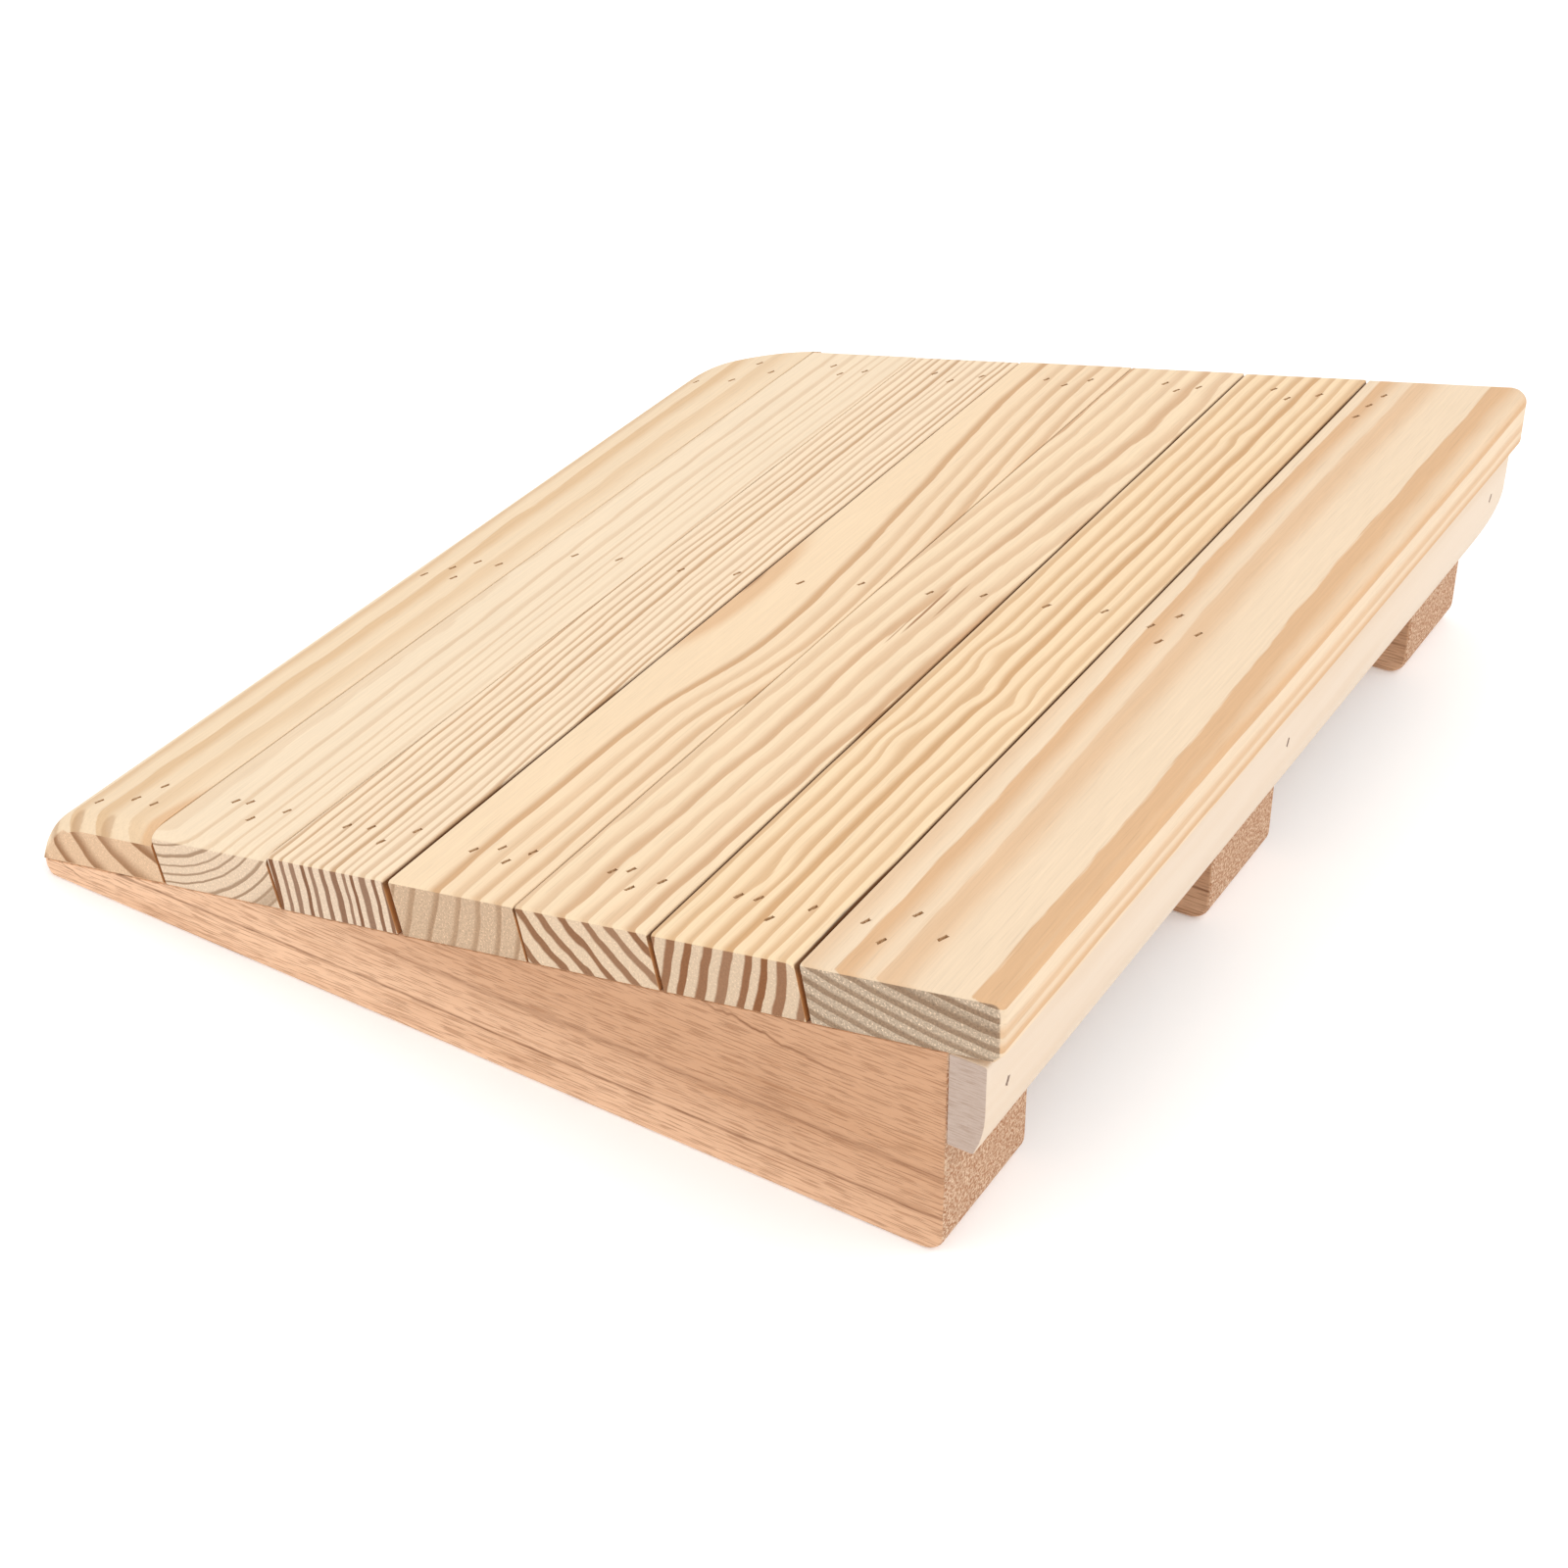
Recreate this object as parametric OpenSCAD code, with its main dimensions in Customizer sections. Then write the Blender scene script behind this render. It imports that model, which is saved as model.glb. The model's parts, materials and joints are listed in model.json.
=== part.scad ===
// Wooden slant board: seven pine boards nailed across three tapered hardwood ribs,
// with a thin rail closing the high side. Millimetres, +Z up, origin at the middle of
// the footprint on the floor. The low edge faces -Y and the high edge +Y.

/* [Deck] */
// Length of the boards, across the slope
deck_l = 392; // [340:1:440]
// Slope of the deck, in degrees
slope = 11.2; // [8:0.1:14]
// Thickness of the boards
board_t = 19; // [17:0.5:22]
// Height of the deck's underside over the floor at the very front
toe_h = 5.5; // [4:0.5:10]
// Radius of the rounded front edge, from the top face down to the front
front_r = 27; // [22:1:27]

/* [Boards, front to back] */
// Width of board 1, which carries the rounded front edge
board_1_w = 57; // [52:0.5:65]
// Width of board 2
board_2_w = 50; // [44:0.5:56]
// Width of board 3
board_3_w = 47; // [44:0.5:56]
// Width of board 4
board_4_w = 48.5; // [44:0.5:56]
// Width of board 5
board_5_w = 46.5; // [44:0.5:56]
// Width of board 6
board_6_w = 48; // [44:0.5:56]
// Width of board 7, along the top face
board_7_w = 62; // [52:0.5:70]
// Joint between two boards that touch
hairline = 0.4; // [0.2:0.1:0.8]
// Joint between boards that don't quite meet
open_joint = 1.1; // [0.8:0.1:1.6]
// Right end of the joint between boards 3 and 4, which closes towards the left
tapered_joint = 1.8; // [0.8:0.1:2.4]

/* [Plan corners] */
// Corner radius at the front left
front_left_r = 60; // [20:1:64]
// Corner radius at the front right
front_right_r = 2; // [1:1:12]
// Corner radius at the back left
back_left_r = 11; // [4:1:14]
// Corner radius at the back right
back_right_r = 2; // [1:1:6]

/* [Ribs] */
// Thickness of each rib
rib_t = 47; // [44:1:50]
// Outer face of the right rib, in from the boards' right ends
rib_right_in = 0; // [0:1:6]
// Right face of the middle rib, in from the boards' right ends
rib_middle_in = 169; // [165:1:173]
// Outer face of the left rib, in from the boards' left ends
rib_left_in = 9.5; // [6:0.5:14]
// Radius of the ribs' bottom corner at the front
toe_r = 2.5; // [1:0.5:2.5]
// Radius of the ribs' bottom corner at the back
heel_r = 7; // [4:1:12]

/* [Back rail] */
// Thickness of the rail
rail_t = 11; // [9:0.5:13]
// Height of the rail
rail_h = 31; // [25:1:36]
// Overhang of the last board past the rail
rail_overhang = 4; // [1:0.5:6]
// Left end of the rail, in from the boards' left ends
rail_left_in = 6; // [3:1:9]
// Radius of the rail's bottom corner at its left end
rail_corner_r = 20; // [8:1:22]
// How far the rail's outer face curves in at the bottom
rail_tuck = 3.2; // [1:0.2:4]

/* [Brads] */
// Length of the brads in the thin front of the ribs
short_brad_l = 25; // [20:1:25]
// Length of all other brads
long_brad_l = 32; // [25:1:32]
// Depth of a brad's head below the surface
brad_set = 1.2; // [0.6:0.1:1.6]
// Turn of the brad heads against the length of the boards, in degrees
brad_turn = 27; // [0:1:45]

/* [Hidden] */
board_widths = [board_1_w, board_2_w, board_3_w, board_4_w, board_5_w, board_6_w, board_7_w];
boards = len(board_widths);

// Where each board starts, measured up the slope, and the joint in front of it at [right, left]
function start(i) = i == 1 ? 0 : start(i - 1) + board_widths[i - 2];
joints = [[0, 0], [hairline, hairline], [hairline, hairline], [tapered_joint, hairline],
          [hairline, hairline], [open_joint, open_joint], [open_joint, open_joint]];
// How far each board's left end stops short of the longest
left_short = [0.4, 0.3, 0.7, 0, 0.3, 0.9, 1.3];

deck_s = start(boards) + board_widths[boards - 1];
deck_d = deck_s * cos(slope) - board_t * sin(slope);
x_right = deck_l / 2;
x_left = -deck_l / 2;
y_front = -deck_d / 2;
y_back = deck_d / 2;
function under_z(y) = toe_h + (y - y_front) * tan(slope);
function top_z(y) = under_z(y) + board_t / cos(slope);

rib_back = y_back - rail_overhang - rail_t;
rib_right_x = x_right - rib_right_in - rib_t;
rib_middle_x = x_right - rib_middle_in - rib_t;
rib_left_x = x_left + rib_left_in;
rail_top = under_z(rib_back);
// Height over which the rail's outer face curves in
rail_curve_h = 15;
top_clear = top_z(y_back) + 10;
past = 5;

// One brad: a flat T head on a thin rectangular shank
head = [3, 1.1, 1];
shank = [1.25, 1];
rail_brad_l = 25;
rail_brad_z = rail_top - 13;
rail_brad_in = 12;

// Brads of a board as [distance back from its front edge, distance in from the right end]
right_rows = [[16, 23], [23, 25], [30, 18], [37, 25]];
right_first = [[24, 11], [36, 16], [45, 15], [40, 25]];
right_last = [[8, 23], [17, 16], [20, 30], [32, 22]];
middle_rows = [[18, 200], [39, 202]];
middle_first = [[24, 176], [32, 183], [38, 176], [39, 189], [49, 189]];
middle_last = [[8, 195], [15, 186], [14, 203], [25, 193]];
left_rows = [[19, 377], [28, 371], [37, 376]];
left_first = [[22, 356], [38, 359], [40, 377], [51, 369]];
left_last = [[9, 358], [10, 368], [12, 377]];
function spread(i, k, size) = size * sin(97 * i + 61 * k);
function rows(i, first, usual, last) = i == 1 ? first : i == boards ? last
    : [for (k = [0:len(usual) - 1]) usual[k] + [spread(i, k, 2), spread(i + 3, k, 1.5)]];
function spots(i) = concat(rows(i, right_first, right_rows, right_last),
                           rows(i, middle_first, middle_rows, middle_last),
                           rows(i, left_first, left_rows, left_last));
function brad_l(i) = i == 1 ? short_brad_l : long_brad_l;

// The outline through points [x, y, r], in order, with each corner rounded to its radius r
arc_steps = 12;
function unit(v) = v / norm(v);
function corner(p, a, b, r) =
    let (u = unit(a - p), v = unit(b - p), half = acos(u * v) / 2,
         c = p + unit(u + v) * r / sin(half),
         from = p + u * r / tan(half) - c, to = p + v * r / tan(half) - c,
         sweep = 180 - 2 * half)
    [for (k = [0:arc_steps]) let (t = k / arc_steps)
        c + (from * sin((1 - t) * sweep) + to * sin(t * sweep)) / sin(sweep)];
function rounded(pts) = let (n = len(pts), q = [for (p = pts) [p.x, p.y]])
    [for (i = [0:n - 1]) each
        pts[i][2] == 0 ? [q[i]] : corner(q[i], q[(i + n - 1) % n], q[(i + 1) % n], pts[i][2])];

// Extrudes an outline drawn in Y and Z along X, from x for a length
module along_x(x, length) {
    translate([x, 0, 0]) rotate([90, 0, 90]) linear_extrude(length) children();
}

// Puts children drawn as [X, up the slope, above the deck's underside] on the deck
module on_deck() {
    translate([0, y_front, toe_h]) rotate([slope, 0, 0]) children();
}

// The whole board from the side, without the heel
module side_profile() {
    polygon(rounded([[y_front, 0, toe_r], [y_front, top_z(y_front), front_r],
                     [y_back, top_z(y_back), 0], [y_back, 0, 0]]));
}

// What the rounded corners of the plan take away
module plan_corner_waste(at, turn, r) {
    translate([at.x, at.y, -past]) rotate(turn) linear_extrude(top_clear + past)
        polygon(concat([[-past, -past], [r, -past]],
                       corner([0, 0], [1, 0], [0, 1], r), [[-past, r]]));
}

module corners_off() {
    difference() {
        children();
        plan_corner_waste([x_left, y_front], 0, front_left_r);
        plan_corner_waste([x_right, y_front], 90, front_right_r);
        plan_corner_waste([x_right, y_back], 180, back_right_r);
        plan_corner_waste([x_left, y_back], 270, back_left_r);
    }
}

// The slice of the deck between the joints in front of board i and behind it
module board_blank(i) {
    long_l = deck_l - left_short[i - 1];
    joint = joints[i - 1];
    front = start(i) - (i == 1 ? past : 0);
    back = start(i) + board_widths[i - 1] + (i == boards ? past : 0);
    on_deck() translate([x_right - long_l, 0, 0]) linear_extrude(board_t)
        polygon([[0, front + joint[1]], [long_l, front + joint[0]], [long_l, back], [0, back]]);
}

// Boards 1 and 7 are cut to the side profile and the rounded corners. The others keep their sides.
module board_shape(i) {
    if (i == 1 || i == boards)
        corners_off() intersection() {
            board_blank(i);
            along_x(x_left - past, deck_l + 2 * past) side_profile();
        }
    else board_blank(i);
}

// One brad with its head's top at the origin, pointing down, or the hole that it leaves
module brad(length, hole = 0) {
    translate([-head.x / 2, -head.y / 2, -head.z]) cube([head.x, head.y, head.z + hole]);
    translate([-shank.x / 2, -shank.y / 2, -length]) cube([shank.x, shank.y, length]);
}

module deck_brad_set(i, hole = 0) {
    for (p = spots(i)) on_deck()
        translate([x_right - p[1], start(i) + p[0], board_t - brad_set])
            rotate(-brad_turn) brad(brad_l(i), hole);
}

module rail_brad_set(hole = 0) {
    for (x = [rib_left_x + rail_brad_in, rib_middle_x + rib_t / 2, rib_right_x + rib_t - rail_brad_in])
        translate([x, rib_back + rail_t - brad_set, rail_brad_z])
            rotate([-90, 0, 0]) rotate(90 - brad_turn) brad(rail_brad_l, hole);
}

module deck_board(i, tint) {
    color(tint) difference() {
        board_shape(i);
        deck_brad_set(i, past);
    }
}

module deck_board_1() { deck_board(1, [0.90, 0.75, 0.56]); }
module deck_board_2() { deck_board(2, [0.94, 0.85, 0.70]); }
module deck_board_3() { deck_board(3, [0.91, 0.77, 0.60]); }
module deck_board_4() { deck_board(4, [0.92, 0.79, 0.61]); }
module deck_board_5() { deck_board(5, [0.91, 0.77, 0.59]); }
module deck_board_6() { deck_board(6, [0.90, 0.75, 0.57]); }
module deck_board_7() { deck_board(7, [0.91, 0.77, 0.59]); }

// A rib fills the side profile under the deck, from the front to the rail
module rib(x) {
    color([0.80, 0.58, 0.42]) difference() {
        corners_off() along_x(x, rib_t) intersection() {
            side_profile();
            polygon(rounded([[y_front - past, -past, 0], [rib_back, 0, heel_r], [rib_back, under_z(rib_back), 0],
                             [y_front - past, under_z(y_front - past), 0]]));
        }
        for (i = [1:boards]) deck_brad_set(i);
        rail_brad_set();
    }
}

module rib_left() { rib(rib_left_x); }
module rib_middle() { rib(rib_middle_x); }
module rib_right() { rib(rib_right_x); }

// The rail's section: its outer face curves in towards the bottom
module rail_section() {
    curve_r = (rail_curve_h * rail_curve_h + rail_tuck * rail_tuck) / (2 * rail_tuck);
    curve_end = asin(rail_curve_h / curve_r);
    outer = rib_back + rail_t;
    knee = rail_top - rail_h + rail_curve_h;
    polygon(concat([[rib_back, rail_top], [rib_back, rail_top - rail_h]],
                   [for (k = [arc_steps:-1:0]) let (a = k / arc_steps * curve_end)
                       [outer - curve_r * (1 - cos(a)), knee - curve_r * sin(a)]],
                   [[outer, rail_top]]));
}

module back_rail() {
    rail_x = x_left + rail_left_in;
    rail_l = x_right - rib_right_in - rail_x;
    color([0.95, 0.84, 0.71]) difference() {
        along_x(rail_x, rail_l) rail_section();
        translate([rail_x, rib_back + rail_t + past, rail_top - rail_h]) rotate([90, 0, 0])
            linear_extrude(rail_t + 2 * past)
                polygon(concat([[-past, -past], [rail_corner_r, -past]],
                               corner([0, 0], [1, 0], [0, 1], rail_corner_r), [[-past, rail_corner_r]]));
        rail_brad_set(past);
    }
}

module board_brads(i) { color([0.55, 0.55, 0.56]) deck_brad_set(i); }
module rail_brads() { color([0.55, 0.55, 0.56]) rail_brad_set(); }

deck_board_1();
deck_board_2();
deck_board_3();
deck_board_4();
deck_board_5();
deck_board_6();
deck_board_7();
rib_left();
rib_middle();
rib_right();
back_rail();
board_brads(1);  // brads_board_1
board_brads(2);  // brads_board_2
board_brads(3);  // brads_board_3
board_brads(4);  // brads_board_4
board_brads(5);  // brads_board_5
board_brads(6);  // brads_board_6
board_brads(7);  // brads_board_7
rail_brads();
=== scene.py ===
"""A wooden slant board: seven pine boards nailed across three hardwood ribs, with a thin back rail.

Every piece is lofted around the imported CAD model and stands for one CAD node. Lengths in the geometry
are metres. The wood shaders count in millimetres, in the deck's own coordinates.
"""

import json
import math

import bmesh
import bpy
from mathutils import Matrix, Vector, noise


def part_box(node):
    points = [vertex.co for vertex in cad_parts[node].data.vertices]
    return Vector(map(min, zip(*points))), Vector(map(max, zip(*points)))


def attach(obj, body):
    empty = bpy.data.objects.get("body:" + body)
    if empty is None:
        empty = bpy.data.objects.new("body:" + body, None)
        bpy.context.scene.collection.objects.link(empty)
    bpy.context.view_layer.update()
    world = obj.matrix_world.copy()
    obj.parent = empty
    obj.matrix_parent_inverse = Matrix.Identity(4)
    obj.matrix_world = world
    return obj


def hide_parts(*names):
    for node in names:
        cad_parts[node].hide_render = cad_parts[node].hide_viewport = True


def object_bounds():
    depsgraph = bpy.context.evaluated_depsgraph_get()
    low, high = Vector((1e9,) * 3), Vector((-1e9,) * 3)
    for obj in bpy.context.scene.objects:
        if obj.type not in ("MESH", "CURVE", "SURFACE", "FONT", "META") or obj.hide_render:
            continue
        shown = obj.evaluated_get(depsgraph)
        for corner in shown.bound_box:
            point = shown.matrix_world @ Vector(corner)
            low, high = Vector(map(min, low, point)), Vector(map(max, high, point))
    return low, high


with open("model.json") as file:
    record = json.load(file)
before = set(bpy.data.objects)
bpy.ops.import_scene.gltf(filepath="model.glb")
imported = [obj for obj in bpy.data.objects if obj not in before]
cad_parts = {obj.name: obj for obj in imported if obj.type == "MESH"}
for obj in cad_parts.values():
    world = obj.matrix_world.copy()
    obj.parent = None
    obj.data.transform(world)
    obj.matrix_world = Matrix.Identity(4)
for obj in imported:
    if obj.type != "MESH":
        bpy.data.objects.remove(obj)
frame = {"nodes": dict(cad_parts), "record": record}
cad_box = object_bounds()

MM = 0.001
BOARDS = ["deck_board_%d" % i for i in range(1, 8)]
RIBS = ["rib_left", "rib_middle", "rib_right"]
BRAD_SETS = ["brads_board_%d" % i for i in range(1, 8)] + ["rail_brads"]


# ------------------------------------------------------------------ the frame's own measures


class Deck:
    """The sloping deck's coordinates: x across, s up the slope, n above the boards' underside."""

    def __init__(self):
        mounts = {m["name"]: m for m in frame["record"]["mounts"]}
        _, y, z = mounts["deck_face"]["axis"]
        self.slope = math.atan2(-y, z)
        self.sin, self.cos = math.sin(self.slope), math.cos(self.slope)
        self.along = Vector((0, self.cos, self.sin))
        self.above = Vector((0, -self.sin, self.cos))
        heights = [self.above.dot(v.co) for v in frame["nodes"]["deck_board_4"].data.vertices]
        self.thick = max(heights) - min(heights)
        self.y_front, self.y_back = cad_box[0].y, cad_box[1].y
        s_front = (self.y_front + self.sin * min(heights)) / self.cos
        self.origin = self.above * min(heights) + self.along * s_front

    def put(self, x, s, n):
        return self.origin + Vector((x, 0, 0)) + self.along * s + self.above * n

    def find(self, point):
        p = point - self.origin
        return Vector((point.x, self.along.dot(p), self.above.dot(p)))

    def under_z(self, y):
        """Height of the boards' underside over the floor at y."""
        return self.origin.z + (y - self.y_front) * math.tan(self.slope)

    def plumb_s(self, y, n):
        """Where the upright plane at y crosses the height n."""
        return (y - self.y_front + n * self.sin) / self.cos


deck = Deck()
X_LEFT, X_RIGHT = cad_box[0].x, cad_box[1].x
FRONT_R = 27 * MM  # the rounded front edge
FRONT_CORNERS = {X_LEFT: 60 * MM, X_RIGHT: 2 * MM}  # radii of the plan's corners
BACK_CORNERS = {X_LEFT: 11 * MM, X_RIGHT: 2 * MM}


def corner_cut(x, corners):
    """How far a rounded corner of the plan takes an edge in at x."""
    cut = 0
    for end, radius in corners.items():
        past = radius - abs(x - end)
        if past > 0:
            cut = max(cut, radius - math.sqrt(max(radius * radius - past * past, 0)))
    return cut


def board_edges(node):
    """A board's two ends in x, and its front and back edge at each: [(x, front, back), ...]."""
    points = [deck.find(v.co) for v in frame["nodes"][node].data.vertices]
    found = []
    for x in (min(p.x for p in points), max(p.x for p in points)):
        near = [p.y for p in points if abs(p.x - x) < 0.2 * MM]
        found.append((x, min(near), max(near)))
    return found


# ------------------------------------------------------------------ mesh helpers


def waver(x, seed, reach, size):
    """A smooth random wander along x, from -size to size."""
    return size * noise.noise(Vector((x / reach, 7.3 * seed, 0.5)))


def mesh_object(name, vertices, faces):
    mesh = bpy.data.meshes.new(name)
    mesh.from_pydata(vertices, [], faces)
    made = bmesh.new()
    made.from_mesh(mesh)
    bmesh.ops.recalc_face_normals(made, faces=made.faces)
    made.to_mesh(mesh)
    made.free()
    piece = bpy.data.objects.new(name, mesh)
    bpy.context.scene.collection.objects.link(piece)
    return piece


def skin(rings):
    """Vertices and faces of a closed body over rings of equal length, with a flat face on each end."""
    count = len(rings[0])
    faces = []
    for r in range(len(rings) - 1):
        for k in range(count):
            a, b = r * count + k, r * count + (k + 1) % count
            faces.append((a, b, b + count, a + count))
    last = (len(rings) - 1) * count
    faces.append(tuple(reversed(range(count))))
    faces.append(tuple(range(last, last + count)))
    return [p for ring in rings for p in ring], faces


def arc(corner, before, after, radius, steps):
    """A corner's points, rounded to a radius, on the way from one neighbour to the other."""
    u, v = (before - corner).normalized(), (after - corner).normalized()
    half = math.acos(max(-1, min(1, u.dot(v)))) / 2
    centre = corner + (u + v).normalized() * radius / math.sin(half)
    start = corner + u * radius / math.tan(half) - centre
    end = corner + v * radius / math.tan(half) - centre
    sweep = math.pi - 2 * half
    return [centre + (start * math.sin((1 - k / steps) * sweep) + end * math.sin(k / steps * sweep))
            / math.sin(sweep) for k in range(steps + 1)]


def between(a, b, parts):
    """The points that cut the line from a to b into equal parts, without a and b."""
    return [a.lerp(b, k / parts) for k in range(1, parts)]


def rounded_ring(corners, radii, parts, steps=5, planed=()):
    """A closed outline with each corner rounded, or planed flat, and each side cut into parts."""
    points = [Vector(c) for c in corners]
    count = len(points)
    arcs = [arc(points[i], points[i - 1], points[(i + 1) % count], radii[i], steps) for i in range(count)]
    for i in planed:
        arcs[i] = [arcs[i][0]] + between(arcs[i][0], arcs[i][-1], steps) + [arcs[i][-1]]
    ring = []
    for i in range(count):
        ring += arcs[i] + between(arcs[i][-1], arcs[(i + 1) % count][0], parts[i])
    return ring


def smooth(piece, sharp_deg=32):
    """Smooth shading that keeps flat faces flat and hard edges hard."""
    for polygon in piece.data.polygons:
        polygon.use_smooth = True
    piece.data.set_sharp_from_angle(angle=math.radians(sharp_deg))
    weighted = piece.modifiers.new("flat_faces_lead", "WEIGHTED_NORMAL")
    weighted.keep_sharp = True
    weighted.weight = 90


def carve(piece, cutter):
    """Takes the cutter's solids out of a piece, and removes the cutter."""
    cut = piece.modifiers.new("carve", "BOOLEAN")
    cut.operation, cut.solver, cut.object = "DIFFERENCE", "EXACT", cutter
    result = bpy.data.meshes.new_from_object(piece.evaluated_get(bpy.context.evaluated_depsgraph_get()))
    piece.modifiers.remove(cut)
    piece.data = result
    result.name = piece.name
    bpy.data.objects.remove(cutter)


# ------------------------------------------------------------------ brads and the holes they leave

HEAD = (3.0 * MM, 1.1 * MM, 1.0 * MM)  # length, width and height of a brad's head
SHANK = (1.25 * MM, 1.0 * MM)
LONG_SIDE = 2.5 * MM  # a distance between corners of a head that only its long side and diagonal pass
TIP = 2.5 * MM  # length of the chisel point
SURFACE_CLEAR = 4 * MM  # how far a pocket's cutter stands out of the wood
TEAR_FROM, TEAR_SIZE = 3 * MM, 0.7 * MM  # where the torn rim samples the noise, and the size of its fibres


class Brad:
    """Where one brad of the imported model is: its head's top, its directions and its length."""

    def __init__(self, points, down):
        depths = [down.dot(p) for p in points]
        top = [p for p, d in zip(points, depths) if d < min(depths) + 0.1 * MM]
        self.down = down
        self.length = max(depths) - min(depths)
        self.head = sum(top, Vector()) / len(top)
        long_ways = [p - top[0] for p in top if (p - top[0]).length > LONG_SIDE]
        self.long = min(long_ways, key=lambda v: v.length).normalized()
        self.across = self.down.cross(self.long)

    def ring(self, length, width, depth, ragged=0.0):
        """Twelve points round a slot of this size, at a depth below the head's top, torn outwards."""
        spots = [(k / 2, 1) for k in (-2, -1, 0, 1, 2)] + [(1, 0)]
        spots += [(-a, -b) for a, b in spots]
        made = []
        for a, b in spots:
            at = self.head + self.long * a * length / 2 + self.across * b * width / 2
            push = 1 + ragged * (0.5 + noise.noise((at + self.down * TEAR_FROM) / TEAR_SIZE))
            at = self.head + (at - self.head) * push
            made.append(at + self.down * depth)
        return made

    def hole(self):
        """The pocket over the head, torn a little at the top, and the head's and the shank's own room."""
        return skin([self.ring(HEAD[0] * 0.8, HEAD[1] * 1.1, -SURFACE_CLEAR, 0.5),
                     self.ring(HEAD[0] * 0.82, HEAD[1] * 1.05, -0.9 * MM, 0.4),
                     self.ring(HEAD[0], HEAD[1] * 1.02, -0.35 * MM, 0.0),
                     self.ring(HEAD[0], HEAD[1], 0),
                     self.ring(HEAD[0], HEAD[1], HEAD[2]),
                     self.ring(SHANK[0], SHANK[1], HEAD[2]),
                     self.ring(SHANK[0], SHANK[1], self.length)])

    def body(self):
        """A T-headed brad with a slightly crowned head and a chisel point."""
        return skin([self.ring(HEAD[0] * 0.9, HEAD[1] * 0.8, 0),
                     self.ring(HEAD[0], HEAD[1], 0.15 * MM),
                     self.ring(HEAD[0], HEAD[1], HEAD[2]),
                     self.ring(SHANK[0], SHANK[1], HEAD[2]),
                     self.ring(SHANK[0], SHANK[1], self.length - TIP),
                     self.ring(SHANK[0] * 0.4, SHANK[1] * 0.12, self.length)])


def brads_in(node):
    """The brads of a packed brad node, one for each of its separate solids."""
    made = bmesh.new()
    made.from_mesh(frame["nodes"][node].data)
    bmesh.ops.remove_doubles(made, verts=made.verts, dist=0.001 * MM)
    left, found = set(made.verts), []
    down = Vector((0, -1, 0)) if node == "rail_brads" else -deck.above
    while left:
        island, edge = set(), [left.pop()]
        while edge:
            vertex = edge.pop()
            island.add(vertex)
            linked = {e.other_vert(vertex) for e in vertex.link_edges} & left
            left -= linked
            edge += linked
        found.append(Brad(sorted((v.co.copy() for v in island), key=tuple), down))
    made.free()
    return sorted(found, key=lambda b: tuple(b.head))


BRADS = {node: brads_in(node) for node in BRAD_SETS}


def joined(name, solids):
    """One object made of several closed bodies."""
    vertices, faces = [], []
    for points, sides in solids:
        faces += [tuple(i + len(vertices) for i in side) for side in sides]
        vertices += points
    return mesh_object(name, vertices, faces)


def make_brads(node):
    piece = joined("steel_" + node, [b.body() for b in BRADS[node]])
    smooth(piece, 50)
    return piece


# ------------------------------------------------------------------ boards

END_STEPS = 5


class EndShape:
    """How a board's end is eased: how far in from the end, and how far off each face, top and bottom.

    A rounded end runs smoothly into its face, and a bevelled one keeps a hard edge round the end."""

    def __init__(self, reach_top, reach_bottom, off_top, off_bottom, off_side=0.3 * MM, bevelled=False):
        self.reach = (reach_bottom, reach_top)
        self.off = (off_bottom, off_top)
        self.off_side, self.bevelled = off_side, bevelled

    def steps(self):
        """Pairs of the eased share off the faces and the share of the reach."""
        if self.bevelled:
            return [((1 - k / END_STEPS) ** 2, k / END_STEPS) for k in range(END_STEPS + 1)]
        turns = [math.pi / 2 * k / END_STEPS for k in range(END_STEPS + 1)]
        return [(1 - math.sin(turn), 1 - math.cos(turn)) for turn in turns]


SAWN = EndShape(1.3 * MM, 0.7 * MM, 1.0 * MM, 0.6 * MM)
SANDED = EndShape(6.0 * MM, 0.8 * MM, 2.8 * MM, 0.7 * MM)
ROUNDED_NOSE = EndShape(7.6 * MM, 0.9 * MM, 4.9 * MM, 0.8 * MM, bevelled=True)
CURVED_AWAY = EndShape(0.3 * MM, 0.3 * MM, 0.2 * MM, 0.2 * MM)
STATION_GAP = 6 * MM
ARRIS, LOW_ARRIS, LEAST_ARRIS = 0.55 * MM, 0.6 * MM, 0.12 * MM  # radii of long edges: top, bottom, least


def stations(ends, shapes, corner_radii, pitch=STATION_GAP):
    """Places along a piece, from the left: (x, eased share off the faces, share of the reach, inward, shape).

    inward is 1 at the left end and -1 at the right, and shape is the end shape that the place belongs to."""
    made = []
    for side, (end, shape, radius) in enumerate(zip(ends, shapes, corner_radii)):
        inward = 1 if side == 0 else -1
        eased = [(end, off, reach, inward, shape) for off, reach in shape.steps()]
        start = max(shape.reach) + 0.4 * MM
        if radius > start:
            first = math.acos(1 - start / radius)
            steps = 3 + int(radius / (2.2 * MM))
            for k in range(steps + 1):
                turn = first + (math.pi / 2 - first) * k / steps
                eased.append((end + inward * radius * (1 - math.cos(turn)), 0, 0, inward, shape))
        else:
            eased.append((end + inward * start, 0, 0, inward, shape))
        made.append(eased)
    left, right = made[0], made[1]
    gap = right[-1][0] - left[-1][0]
    count = round(gap / pitch)
    middle = [(left[-1][0] + gap * k / count, 0, 0, 1, shapes[0]) for k in range(1, count)]
    return left + middle + right[::-1]


def lerp(a, b, t):
    return a + (b - a) * t


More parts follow.
